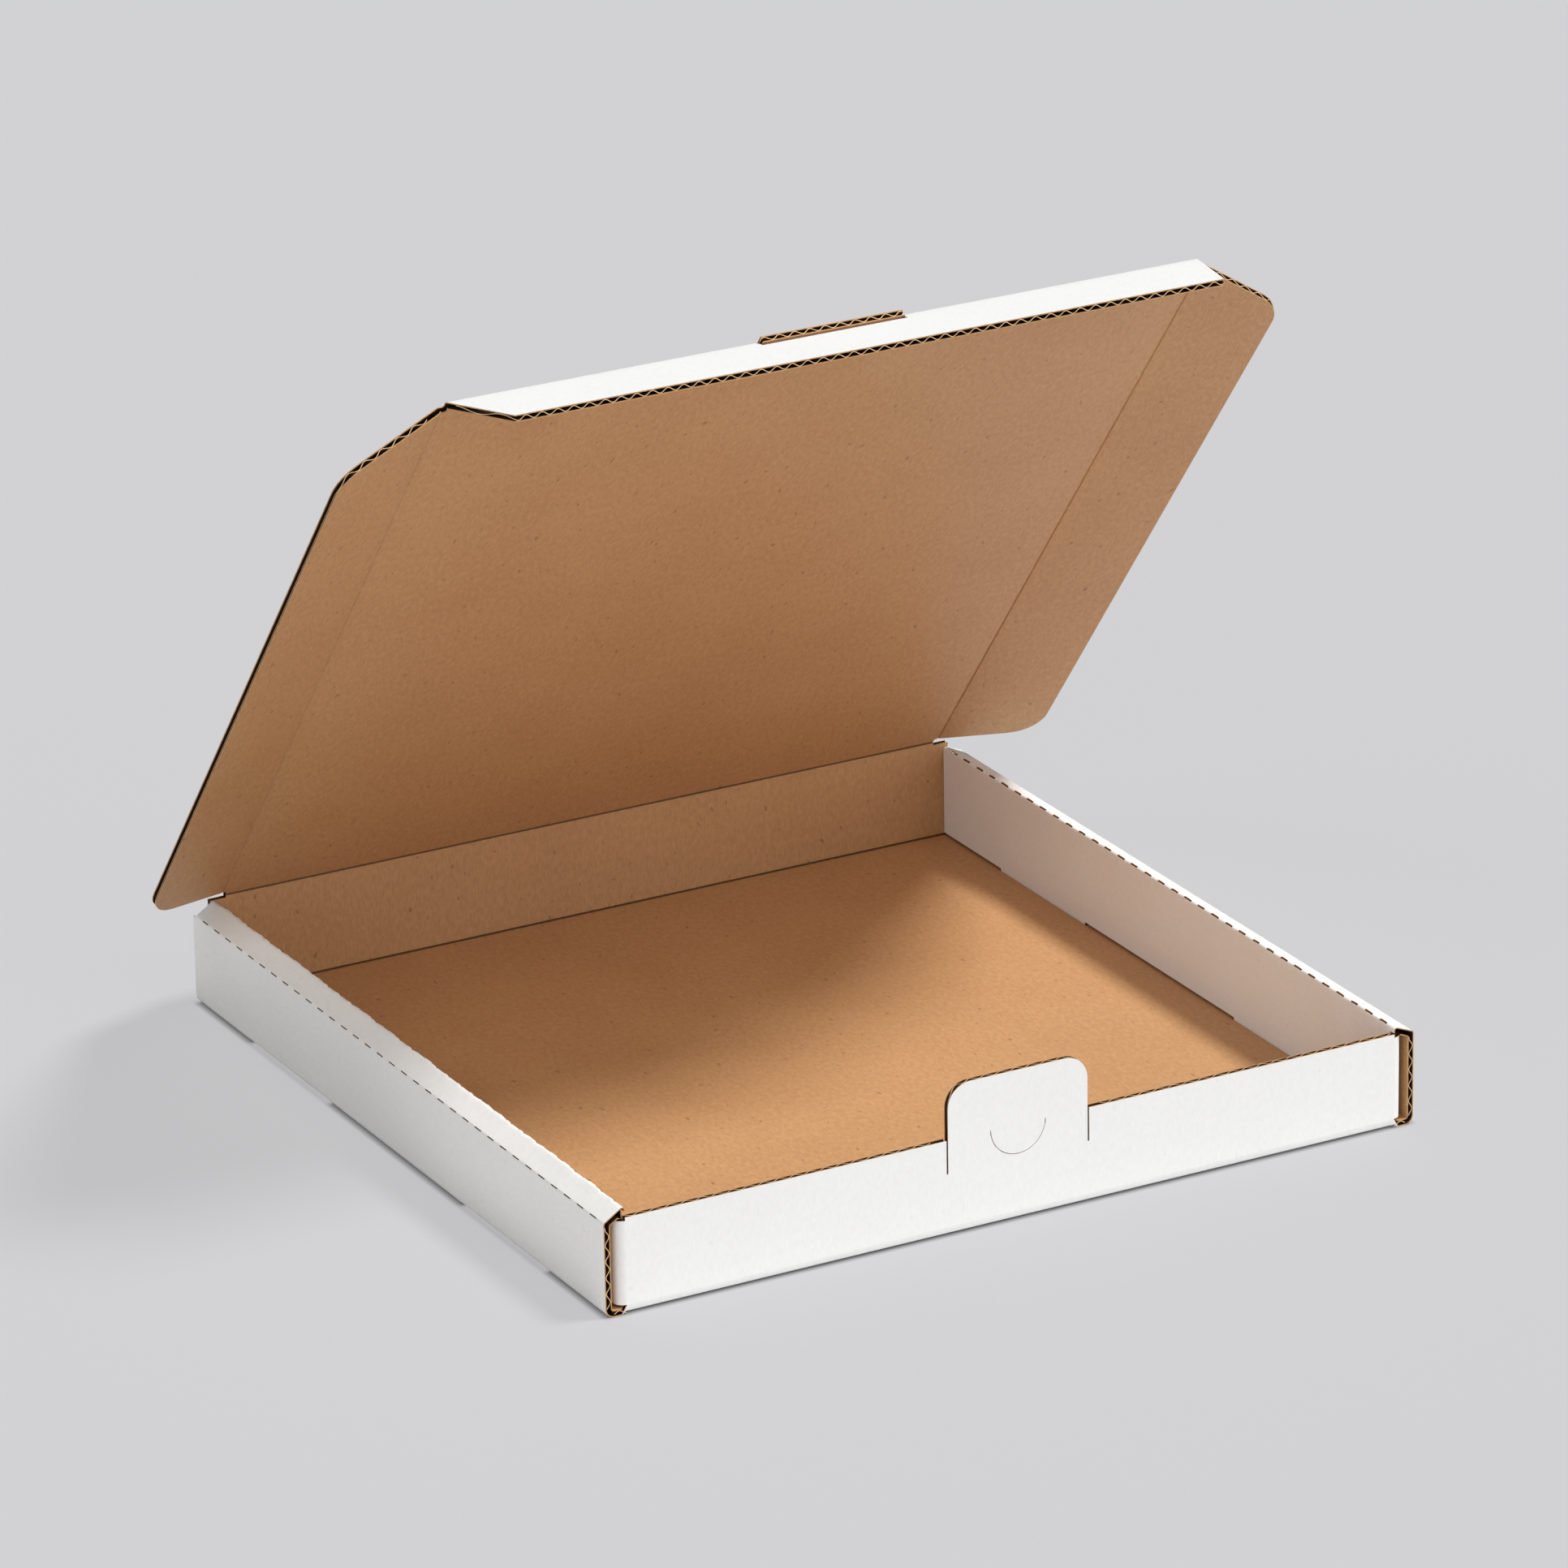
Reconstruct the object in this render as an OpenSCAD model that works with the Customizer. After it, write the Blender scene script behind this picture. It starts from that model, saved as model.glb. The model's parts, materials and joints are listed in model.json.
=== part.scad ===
// Flip-lid shipping carton, die-cut from one sheet of corrugated board and folded up.
// Millimetres. X runs right along the front, Y to the back, Z up.
// The origin is the middle of the base's underside.

/* [Carton] */
// Outside width, across the two side walls
carton_w = 180; // [150:1:260]
// Outside depth, from the front wall to the back wall
carton_d = 180; // [150:1:260]
// Height of the front wall, and of the side walls' outer creases
wall_h = 20; // [17:0.5:40]
// Height of the lid's hinge crease above the front wall's top
hinge_rise = 3.2; // [3:0.1:4]

/* [Corrugated board] */
// Thickness of the board
board_t = 1.4; // [1.2:0.1:1.6]
// Thickness of the white and of the kraft liner
liner_t = 0.22; // [0.18:0.01:0.26]
// Thickness of the fluted medium between the liners
medium_t = 0.16; // [0.12:0.01:0.2]
// Distance from one flute to the next
flute_pitch = 3.35; // [2.8:0.05:4]
// Stretch beside a crease or bend where the flutes are crushed flat
crush_l = 2.6; // [2:0.1:4]
// Inner radius where the board bends between base and walls
bend_r = 0.5; // [0.3:0.1:0.8]
// Gap left at a crease or between plies
ply_gap = 0.15; // [0.1:0.05:0.2]
// Width of a die-cut slit
slit_w = 0.35; // [0.2:0.05:0.5]

/* [Roll-over side walls] */
// Distance from a side wall's outer face to the face of its inner panel
roll_w = 4.6; // [4.4:0.1:5.2]
// Rise of the left top strip, from its outer to its inner crease
left_rise = 2.1; // [0.5:0.1:2.2]
// Rise of the right top strip, from its outer to its inner crease
right_rise = 1.3; // [0.5:0.1:2.2]
// Setback of the inner panels and top strips from the back wall
roll_setback = 4; // [3:0.5:8]
// Length of a locking tab's slot along the wall
lock_l = 36; // [24:1:44]
// Distance of a locking tab's middle from the middle of the wall
lock_at = 47; // [30:1:52]
// Clearance between a locking tab and each end of its slot
lock_gap = 0.6; // [0.3:0.1:1]
// Height of the gap under the inner panels, beside the tabs
panel_lift = 0.5; // [0.3:0.1:1]
// Height of the slots where they show in the outer wall
slot_h = 0.9; // [0.6:0.1:1.2]
// Length of the corner flaps between the plies
corner_l = 42; // [20:1:60]
// Slant of a corner flap's free end
corner_slant = 6; // [2:1:12]

/* [Perforated creases] */
// Distance from one cut of a perforated crease to the next
perf_pitch = 5.3; // [4:0.1:8]
// Length of one cut
perf_l = 2.6; // [2:0.1:3.4]

/* [Front lock tab] */
// Width of the lock tab
tab_w = 31; // [24:1:40]
// Height of the lock tab above the front wall
tab_h = 11.4; // [8:0.1:13]
// Radius of the lock tab's upper corners
tab_r = 5; // [2:0.5:6]
// Depth of the slits beside the lock tab
tab_slit = 7; // [4:0.5:10]
// Radius of the half-moon thumb cut
thumb_r = 6; // [4:0.5:8]

/* [Lid] */
// Clearance between the lid's side creases and the inner panels
lid_side_gap = 1.4; // [1:0.1:2]
// Clearance between the lid's front crease and the front wall
lid_front_gap = 2.9; // [2:0.1:5]
// Angle that the lid stands open
lid_open = 51.5; // [20:0.5:150]
// Reach of the lid's slot tab past the front crease
slot_tab_l = 2.2; // [1.8:0.1:4]
// Clearance round the slot tab in the front flap
slot_gap = 0.35; // [0.2:0.05:0.6]

/* [Lid flaps] */
// Clearance of the front flap above the base when the lid is shut
flap_lift = 3.1; // [2:0.1:6]
// How far each end of the front flap tapers in
flap_taper = 5.1; // [2:0.1:10]
// Setback of the front flap's ends from the lid's side creases
flap_inset = 1.2; // [1:0.1:3]
// Fold of the front flap
flap_fold = 45.5; // [0:0.5:95]
// Clearance of the side flaps above the base when the lid is shut
ear_lift = 1.3; // [1:0.1:4]
// Slant of the side flaps' front ends
ear_front_slant = 28; // [10:1:45]
// Slant of the side flaps' hinge ends
ear_rear_slant = 16; // [8:1:30]
// Radius of the side flaps' front corners
ear_front_r = 8; // [4:0.5:10]
// Radius of the side flaps' hinge corners
ear_rear_r = 9; // [4:0.5:10]
// Setback of the side flaps' ends along their crease
ear_inset = 1.2; // [1:0.1:3]
// Fold of the left side flap
left_fold = 13.5; // [0:0.5:22.5]
// Fold of the right side flap
right_fold = 17.5; // [0:0.5:22.5]

/* [Hidden] */
$fn = 48;
white = [0.94, 0.94, 0.92];
kraft = [0.68, 0.50, 0.33];

half_t = board_t / 2;
bend_out = bend_r + board_t;
side_x = carton_w / 2;
front_y = carton_d / 2;
// Creases turn about the middle of the board, on an edge as round as the board is thick
crease_end = half_t + ply_gap;
hinge_y = front_y - half_t;
hinge_h = wall_h + hinge_rise;
// Corner flaps lie between the outer and inner plies of the side walls
corner_x = side_x - board_t - ply_gap;
wall_flat_x = corner_x - bend_out;
corner_top = wall_h - board_t - ply_gap;
corner_bottom = board_t + panel_lift;
// The side walls stop short of the front and back faces by one ply gap
side_end = front_y - ply_gap;
panel_front = front_y - board_t - ply_gap;
panel_bottom = board_t + panel_lift;
roll_back = front_y - board_t - roll_setback;
// The lid fits between the inner panels, and its flaps fit inside the tray
lid_w = carton_w - 2 * (roll_w + lid_side_gap);
lid_l = carton_d - half_t - board_t - lid_front_gap;
flap_l = hinge_h - board_t - flap_lift;
ear_w = hinge_h - board_t - ear_lift;
slot_x = tab_w / 2 + ply_gap;

// Outlines with round corners

function toward(from, to) = (to - from) / norm(to - from);
function corner_half(p, q, r) = acos(toward(q, p) * toward(q, r)) / 2;
function tangent(q, to, half, radius) = q + toward(q, to) * radius / tan(half);
function round_centre(p, q, r, radius) =
    q + toward([0, 0], toward(q, p) + toward(q, r)) * radius / sin(corner_half(p, q, r));

// Convex outline; each point is [x, y, corner radius]
module outline(points) {
    n = len(points);
    at = [for (p = points) [p[0], p[1]]];
    polygon([for (i = [0:n - 1])
        let (before = at[(i + n - 1) % n], here = at[i], after = at[(i + 1) % n], radius = points[i][2])
        each radius > 0
            ? [tangent(here, before, corner_half(before, here, after), radius),
               tangent(here, after, corner_half(before, here, after), radius)]
            : [here]]);
    for (i = [0:n - 1])
        if (points[i][2] > 0)
            translate(round_centre(at[(i + n - 1) % n], at[i], at[(i + 1) % n], points[i][2]))
                circle(points[i][2]);
}

// Sections and extrusions

arc_steps = 6;
function arc(centre, radius, from, to) =
    [for (i = [0:arc_steps])
        let (angle = from + (to - from) * i / arc_steps)
        centre + radius * [cos(angle), sin(angle)]];

// Faces of the bend between a base on y = 0 and a wall on x = 0, with a flat tail in the base
bend_centre = [bend_out, bend_out];
bend_tail = bend_out + half_t;
bend_outer_face = concat([[bend_tail, 0]], arc(bend_centre, bend_out, 270, 180));
bend_inner_face = concat(arc(bend_centre, bend_r, 180, 270), [[bend_tail, board_t]]);

// Extrudes a section in (x, z) along Y
module along_y(from, to) {
    translate([0, to, 0]) rotate([90, 0, 0]) linear_extrude(to - from) children();
}

// Extrudes a section in (y, z) along X
module along_x(from, to) {
    translate([from, 0, 0]) rotate([90, 0, 90]) linear_extrude(to - from) children();
}

// Box from its lowest to its highest corner
module block(low, high) {
    translate(low) cube(high - low);
}

// Hollow under one crest of the medium, in a board whose middle line is y = 0
module flute_hollow() {
    wave = half_t - liner_t - medium_t / 2;
    steps = 2;
    reach = 0.4;
    polygon(concat(
        [for (i = [-steps:steps])
            let (at = reach * i / steps)
            [at * flute_pitch, wave * cos(360 * at) - medium_t / 2]],
        [[reach * flute_pitch, liner_t - half_t], [-reach * flute_pitch, liner_t - half_t]]));
}

// Row of hollows on alternate sides of the medium, between two places along the board
module flute_section(from, to) {
    margin = flute_pitch / 2;
    first = ceil((from + margin) / flute_pitch * 2);
    last = floor((to - margin) / flute_pitch * 2);
    for (i = [first:last])
        translate([i * flute_pitch / 2, 0])
            mirror([0, abs(i) % 2, 0])
                flute_hollow();
}

// Tray

// Middle-line points of a roll-over's two creases, and the slope of the strip between them
outer_crease = [half_t, wall_h - half_t];
function inner_crease(rise) = [roll_w - half_t, wall_h + rise - half_t];
function strip_slope(rise) =
    let (run = inner_crease(rise) - outer_crease)
    atan2(run[1], run[0]);

// Board of a roll-over side wall, from its outer face on x = 0 over the top and down inside
module roll_section(rise) {
    slope = strip_slope(rise);
    under = outer_crease + half_t * [sin(slope), -cos(slope)];
    difference() {
        polygon(concat(
            bend_outer_face,
            arc(outer_crease, half_t, 180, slope + 90),
            arc(inner_crease(rise), half_t, slope + 90, 0),
            [[roll_w, ply_gap], [roll_w - board_t, ply_gap]],
            [for (x = [roll_w - board_t, board_t]) [x, under[1] + (x - under[0]) * tan(slope)]],
            bend_inner_face));
        for (x = [half_t, roll_w - half_t])
            translate([x, 0])
                rotate(90)
                    flute_section(panel_bottom, wall_h - board_t);
    }
}

// Cuts of the two perforated creases, through the board where it turns
module perforations(rise) {
    slope = strip_slope(rise);
    count = floor((roll_back + side_end) / perf_pitch);
    first = (roll_back - side_end - (count - 1) * perf_pitch - perf_l) / 2;
    for (i = [0:count - 1])
        along_y(first + i * perf_pitch, first + i * perf_pitch + perf_l)
            for (crease = [[outer_crease, 135 + slope / 2], [inner_crease(rise), 45 + slope / 2]])
                translate(crease[0])
                    rotate(crease[1])
                        square([2 * board_t, slit_w], center = true);
}

// Stretches of an inner panel's lower edge between and beyond its locking tabs
function panel_gaps() =
    let (near = lock_at - lock_l / 2 + lock_gap, far = lock_at + lock_l / 2 - lock_gap)
    [[-side_end - board_t, -far], [-near, near], [far, side_end]];

// One roll-over side wall
module side_wall(rise) {
    inside = roll_w + board_t;
    panel_outer = roll_w - board_t - ply_gap;
    top = wall_h + rise + board_t;
    difference() {
        along_y(-side_end, side_end) roll_section(rise);
        perforations(rise);
        // Strip and inner panel stop short of the back wall
        block([board_t, roll_back, -board_t], [inside, side_end + board_t, top]);
        // Inner panel stands behind the front wall
        block([panel_outer, -side_end - board_t, -board_t], [inside, -panel_front, wall_h + ply_gap]);
        for (gap = panel_gaps())
            block([panel_outer, gap[0], -board_t], [inside, gap[1], panel_bottom]);
        // Slots show in the outer wall's lower edge
        for (at = [-lock_at, lock_at])
            block([-board_t, at - lock_l / 2, -board_t], [panel_outer, at + lock_l / 2, slot_h]);
    }
}

// Corner flap with the bend that joins it to an end wall, its outer face on x = 0
module corner_flap() {
    difference() {
        translate([0, 0, corner_bottom])
            linear_extrude(corner_top - corner_bottom)
                polygon(concat(bend_outer_face, [[0, corner_l], [board_t, corner_l]], bend_inner_face));
        along_x(-board_t, 2 * board_t)
            polygon([
                [corner_l - corner_slant, corner_top + board_t],
                [corner_l, corner_bottom],
                [corner_l + board_t, corner_bottom],
                [corner_l + board_t, corner_top + board_t]]);
    }
}

// End wall with the corner flaps at its two ends, its outer face on y = 0
module end_wall(height) {
    along_x(-wall_flat_x, wall_flat_x)
        polygon(concat(bend_outer_face, [[0, height], [board_t, height]], bend_inner_face));
    for (side = [0, 1])
        mirror([side, 0, 0])
            translate([-corner_x, 0, 0])
                corner_flap();
}

// Flutes that open in the front wall's top edge
module front_wall_flutes() {
    translate([0, half_t, bend_out + crush_l])
        linear_extrude(wall_h)
            difference() {
                flute_section(-wall_flat_x, wall_flat_x);
                square([tab_w + 2 * flute_pitch, 2 * board_t], center = true);
            }
}

// Cut that frees the lock tab: its crease, its side slits and the thumb cut
module lock_tab_cut() {
    block([-tab_w / 2 - slit_w, -board_t, wall_h - crease_end],
          [tab_w / 2 + slit_w, 2 * board_t, wall_h + board_t]);
    for (side = [-1, 1])
        translate([side * (tab_w + slit_w) / 2, 0, 0])
            block([-slit_w / 2, -board_t, wall_h - tab_slit], [slit_w / 2, 2 * board_t, wall_h + board_t]);
    translate([0, 2 * board_t, wall_h])
        rotate([90, 0, 0])
            cylinder(h = 3 * board_t, r = thumb_r + ply_gap);
}

module front_wall() {
    translate([0, -front_y, 0])
        difference() {
            end_wall(wall_h);
            front_wall_flutes();
            lock_tab_cut();
        }
}

module back_wall() {
    translate([0, front_y, 0])
        mirror([0, 1, 0])
            end_wall(hinge_h - crease_end);
}

module base_panel() {
    flat_x = side_x - bend_out;
    slot_in = side_x - roll_w - ply_gap;
    linear_extrude(board_t)
        difference() {
            square([2 * flat_x, 2 * side_end], center = true);
            for (end = [-1, 1])
                translate([0, end * front_y])
                    square([2 * wall_flat_x, 2 * bend_out], center = true);
            for (side = [-1, 1], at = [-lock_at, lock_at])
                translate([side * (slot_in + flat_x) / 2, at])
                    square([flat_x - slot_in, lock_l], center = true);
        }
}

module tray() {
    color(white) {
        base_panel();
        front_wall();
        back_wall();
        translate([-side_x, 0, 0]) side_wall(left_rise);
        translate([side_x, 0, 0]) mirror([1, 0, 0]) side_wall(right_rise);
    }
}

// Lid, flaps and lock tab

// Round crease edge along X
module crease_edge(from, to) {
    translate([from, 0, 0]) rotate([0, 90, 0]) cylinder(h = to - from, r = half_t);
}

// Fluted board on the middle plane of a panel, its flutes along Y from one place to another
module fluted_sheet(x_from, x_to, y_from, y_to) {
    difference() {
        translate([0, 0, -half_t]) linear_extrude(board_t) children();
        along_y(y_from, y_to) flute_section(x_from, x_to);
    }
}

module lock_tab() {
    color(white)
        translate([0, -front_y + half_t, wall_h])
            rotate([90, 0, 0]) {
                fluted_sheet(-tab_w / 2, tab_w / 2, crush_l, tab_h + board_t) {
                    outline([
                        [-tab_w / 2, 0, 0],
                        [tab_w / 2, 0, 0],
                        [tab_w / 2, tab_h, tab_r],
                        [-tab_w / 2, tab_h, tab_r]]);
                    intersection() {
                        circle(thumb_r);
                        translate([-thumb_r, -thumb_r]) square([2 * thumb_r, thumb_r + half_t]);
                    }
                }
                crease_edge(-tab_w / 2, tab_w / 2);
            }
}

// Frame of the lid: X across, Y from the hinge to the front crease, Z out of the kraft side
module on_lid() {
    translate([0, hinge_y, hinge_h]) rotate([180 - lid_open, 0, 0]) children();
}

module lid() {
    plate_x = lid_w / 2 - crease_end;
    color(kraft)
        on_lid() {
            fluted_sheet(-plate_x, plate_x, crush_l, lid_l + slot_tab_l + board_t) {
                translate([-plate_x, 0]) square([2 * plate_x, lid_l - crease_end]);
                translate([-slot_x, 0]) square([2 * slot_x, lid_l + slot_tab_l]);
            }
            crease_edge(-plate_x, plate_x);
        }
}

module lid_front_flap() {
    root_x = lid_w / 2 - flap_inset;
    tip_x = root_x - flap_taper;
    hole_x = slot_x + slot_gap;
    color(white)
        on_lid()
            translate([0, lid_l, 0])
                rotate([flap_fold, 0, 0]) {
                    fluted_sheet(-root_x, root_x, crush_l, flap_l + board_t)
                        difference() {
                            polygon([[-root_x, 0], [root_x, 0], [tip_x, flap_l], [-tip_x, flap_l]]);
                            square([2 * hole_x, 2 * (slot_tab_l + slot_gap)], center = true);
                        }
                    crease_edge(-root_x, -hole_x);
                    crease_edge(hole_x, root_x);
                }
}

// Side flap reaching out along +X from its crease on the Y axis
module side_flap() {
    rear = ear_inset;
    front = lid_l - ear_inset;
    fluted_sheet(half_t, ear_w, 0, lid_l)
        outline([
            [0, rear, 0],
            [ear_w, rear + ear_w * tan(ear_rear_slant), ear_rear_r],
            [ear_w, front - ear_w * tan(ear_front_slant), ear_front_r],
            [0, front, 0]]);
    translate([0, rear, 0]) rotate([-90, 0, 0]) cylinder(h = front - rear, r = half_t);
}

module lid_left_flap() {
    color(kraft)
        on_lid()
            translate([-lid_w / 2, 0, 0])
                rotate([0, left_fold, 0])
                    mirror([1, 0, 0])
                        side_flap();
}

module lid_right_flap() {
    color(kraft)
        on_lid()
            translate([lid_w / 2, 0, 0])
                rotate([0, -right_fold, 0])
                    side_flap();
}

tray();
lock_tab();
lid();
lid_front_flap();
lid_left_flap();
lid_right_flap();
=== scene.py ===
import json
import math

import bmesh
import bpy
from mathutils import Euler, Matrix, Vector


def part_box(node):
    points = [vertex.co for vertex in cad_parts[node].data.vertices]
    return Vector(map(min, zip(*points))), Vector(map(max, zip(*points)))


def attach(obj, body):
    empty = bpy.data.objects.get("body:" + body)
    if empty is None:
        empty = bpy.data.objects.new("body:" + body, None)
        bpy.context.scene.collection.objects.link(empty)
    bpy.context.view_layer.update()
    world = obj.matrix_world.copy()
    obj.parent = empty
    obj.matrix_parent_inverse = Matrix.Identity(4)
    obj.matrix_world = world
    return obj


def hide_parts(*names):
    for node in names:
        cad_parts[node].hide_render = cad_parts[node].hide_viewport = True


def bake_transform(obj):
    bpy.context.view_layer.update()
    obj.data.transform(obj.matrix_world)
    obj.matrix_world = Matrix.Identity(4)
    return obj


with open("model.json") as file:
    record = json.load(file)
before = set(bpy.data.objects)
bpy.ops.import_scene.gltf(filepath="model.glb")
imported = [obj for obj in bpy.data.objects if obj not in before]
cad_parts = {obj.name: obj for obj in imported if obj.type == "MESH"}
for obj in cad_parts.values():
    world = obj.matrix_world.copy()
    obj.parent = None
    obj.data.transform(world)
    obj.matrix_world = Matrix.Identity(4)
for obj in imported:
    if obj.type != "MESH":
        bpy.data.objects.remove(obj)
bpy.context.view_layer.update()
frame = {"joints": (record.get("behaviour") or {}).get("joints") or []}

# Sizes in millimetres. The pieces are modelled at that scale and set down in metres.
MM = 0.001
tray_high = Vector(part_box("tray")[1]) / MM
joints = {joint["name"]: joint for joint in frame["joints"]}

# Slack for finding parts of a mesh by their place, and distances within which corners merge
touch = 0.02
tight = 0.005
cut_weld = 1e-5
sheet_weld = 1e-4
wave_weld = 1e-3

# Steps round bends, rounded corners and full circles, and the angle up to which faces are smoothed
bend_steps = 5
arc_steps = 8
circle_steps = 64
smooth_angle = math.radians(35)

# Corrugated board
board_t = 1.4
half_t = board_t / 2
liner_t = 0.22
medium_t = 0.16
flute_pitch = 3.35
flute_steps = 12
# The flutes are crushed flat this far from a crease
crush_l = 2.6
# Radius of a bend on its outside, clearance between plies, and width of a slit
bend_out = 1.9
ply_gap = 0.15
slit_w = 0.35

# Tray
side_x = tray_high.x
front_y = tray_high.y
wall_h = 20.0
side_end = front_y - ply_gap
panel_front = front_y - board_t - ply_gap
panel_bottom = 1.9
roll_w = 4.6
# The top strips rise inward by this much, left and right
rises = {-1: 2.1, 1: 1.3}
roll_back = panel_front
lock_l = 36.0
lock_at = 47.0
lock_gap = 0.6
slot_h = 0.9
slot_in = side_x - roll_w - ply_gap
corner_x = side_x - board_t - ply_gap
wall_flat_x = corner_x - bend_out
corner_drop = 0.7
corner_tops = {-1: wall_h - corner_drop, 1: wall_h - board_t - ply_gap}
corner_l = 42.0
# The corner flaps start just above the bend of the base
corner_lift = 0.1
corner_bottom = bend_out + corner_lift
# The front corner flaps lean this far in from the side walls at their bends
corner_leans = {-1: 1.1, 1: 0.0}
perf_pitch = 5.3
perf_l = 2.6
# The cut lips of the inner crease stand this far proud, along this much of the board beside it
scallop = 0.22
lip_l = 1.4
lip_margin = 0.05
# A rolled crease's least radius and its steps, and how many of them a cut spans either side of its middle
crease_r_min = 0.15
crease_steps = 6
dash_steps = 0.75
# How far a top strip's faces may lie below the inner face of the wall's top
strip_drop = 0.6
# Least part of a face's normal that points sideways on an inner panel, and outward on any wall
panel_facing = 0.9
wall_facing = 0.7
# A fold is pressed into the kraft side: depth of deep and of shallow creases, half width, and steps
press = 0.3
ear_press = 0.25
press_w = 0.5
press_steps = 4
# Share of a press, and of its width, along each of two walls at right angles
square_share = 0.7
# Place of the painted crease shade among a liner's materials
crease_shade_slot = 3

# Lid, flaps and lock tab
hinge = Vector(joints["lid_hinge"]["pos_m"]) / MM
front_crease = Vector(joints["front_flap_crease"]["pos_m"]) / MM
lid_half_w = abs(joints["left_flap_crease"]["pos_m"][0]) / MM
lid_l = (front_crease - hinge).length
lid_open = math.atan2(front_crease.z - hinge.z, hinge.y - front_crease.y)
hinge_fold = math.pi / 2 - lid_open
flap_fold = math.radians(45.5)
left_fold = math.radians(13.5)
right_fold = math.radians(17.5)
flap_l = 18.7
flap_inset = 1.2
flap_taper = 5.1
flap_root_x = lid_half_w - flap_inset
flap_tip_x = flap_root_x - flap_taper
tab_w = 31.0
tab_h = 11.4
tab_r = 5.0
tab_slit = 7.0
thumb_r = 6.0
slot_tab_l = 2.2
slot_gap = 0.35
slot_x = tab_w / 2 + ply_gap
hole_x = slot_x + slot_gap
hole_l = slot_tab_l + slot_gap
ear_w = 20.5
ear_inset = 1.2
ear_front_slant = math.radians(28)
ear_rear_slant = math.radians(16)
ear_front_r = 8.0
ear_rear_r = 9.0
# A flap's liners start this far on the other side of its crease
seam = 1.0
# Radius of a flap's fold on its white side
white_fold_r = 1.2


# Mesh tools

def plane(name, low, high, z):
    """A flat rectangle from its low to its high corner."""
    bpy.ops.object.select_all(action="DESELECT")
    centre = ((low[0] + high[0]) / 2, (low[1] + high[1]) / 2, z)
    bpy.ops.mesh.primitive_plane_add(size=1, location=centre)
    sheet = bpy.context.object
    sheet.name = sheet.data.name = name
    sheet.scale = (high[0] - low[0], high[1] - low[1], 1)
    bpy.ops.object.transform_apply(location=True, rotation=True, scale=True)
    return sheet


def activate(piece):
    bpy.ops.object.select_all(action="DESELECT")
    bpy.context.view_layer.objects.active = piece
    piece.select_set(True)


def edit(piece):
    activate(piece)
    bpy.ops.object.mode_set(mode="EDIT")


def leave():
    bpy.ops.object.mode_set(mode="OBJECT")


def pick(piece, kind, test):
    """Selects the vertices, edges or faces that pass a test, and nothing else."""
    bpy.ops.mesh.select_mode(type=kind)
    bpy.ops.mesh.select_all(action="DESELECT")
    mesh = bmesh.from_edit_mesh(piece.data)
    parts = {"VERT": mesh.verts, "EDGE": mesh.edges, "FACE": mesh.faces}[kind]
    chosen = [part for part in parts if test(part)]
    for part in chosen:
        part.select_set(True)
    mesh.select_flush_mode()
    bmesh.update_edit_mesh(piece.data)
    return len(chosen)


def ends(test):
    """Edge test: both ends pass a test on their place."""
    return lambda edge: all(test(vert.co) for vert in edge.verts)


def middle(test):
    """Face test: the middle passes a test on its place."""
    return lambda face: test(face.calc_center_median())


def near(a, b, slack=touch):
    return abs(a - b) < slack


def cut(point, normal, drop=False):
    unit = Vector(normal).normalized()
    bpy.ops.mesh.bisect(plane_co=point, plane_no=unit, clear_outer=drop, threshold=cut_weld)


def cut_all(point, normal, drop=False):
    bpy.ops.mesh.select_all(action="SELECT")
    cut(point, normal, drop)


def pull(move):
    bpy.ops.mesh.extrude_region_move(TRANSFORM_OT_translate={"value": move})


def delete_faces(piece, test):
    if pick(piece, "FACE", test):
        bpy.ops.mesh.delete(type="FACE")


def darken(piece, test):
    """Gives the chosen faces a painted shade, as dark as the shadow in a crease."""
    pick(piece, "FACE", test)
    mesh = bmesh.from_edit_mesh(piece.data)
    for face in mesh.faces:
        if face.select:
            face.material_index = crease_shade_slot
    bmesh.update_edit_mesh(piece.data)


def round_folds(piece, test, radius, fold, segments):
    """Rounds the chosen fold edges to a radius."""
    if pick(piece, "EDGE", test):
        offset = radius * math.tan(fold / 2)
        bpy.ops.mesh.bevel(offset=offset, offset_type="OFFSET", segments=segments, affect="EDGES")


def rounded(points):
    """Outline through [x, y, corner radius] points, anticlockwise, with its corners as arcs."""
    outline = []
    for i, (x, y, radius) in enumerate(points):
        here = Vector((x, y))
        back = (Vector(points[i - 1][:2]) - here).normalized()
        ahead = (Vector(points[(i + 1) % len(points)][:2]) - here).normalized()
        if radius == 0:
            outline.append(here)
            continue
        half = back.angle(ahead) / 2
        centre = here + (back + ahead).normalized() * radius / math.sin(half)
        first = here + back * radius / math.tan(half) - centre
        turn = math.pi - 2 * half
        for step in range(arc_steps + 1):
            outline.append(centre + Matrix.Rotation(turn * step / arc_steps, 2) @ first)
    return outline


def trim(piece, outline):
    """Cuts a piece back to a convex outline, all but the outline's first edge."""
    edit(piece)
    for i in range(1, len(outline)):
        here, after = outline[i], outline[(i + 1) % len(outline)]
        side = after - here
        cut_all((here.x, here.y, 0), (side.y, -side.x, 0), drop=True)
    leave()


def lay_flat(piece, place):
    """Gives each corner its place in the flat blank, in metres, as the UV map."""
    layer = piece.data.uv_layers.active or piece.data.uv_layers.new(name="blank")
    for face in piece.data.polygons:
        for loop in face.loop_indices:
            co = piece.data.vertices[piece.data.loops[loop].vertex_index].co
            layer.data[loop].uv = place(co, face.normal) * MM


def finish_modifier(piece, kind, **settings):
    activate(piece)
    modifier = piece.modifiers.new(kind.title(), kind)
    for name, value in settings.items():
        setattr(modifier, name, value)
    bpy.ops.object.modifier_apply(modifier=modifier.name)


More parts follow.
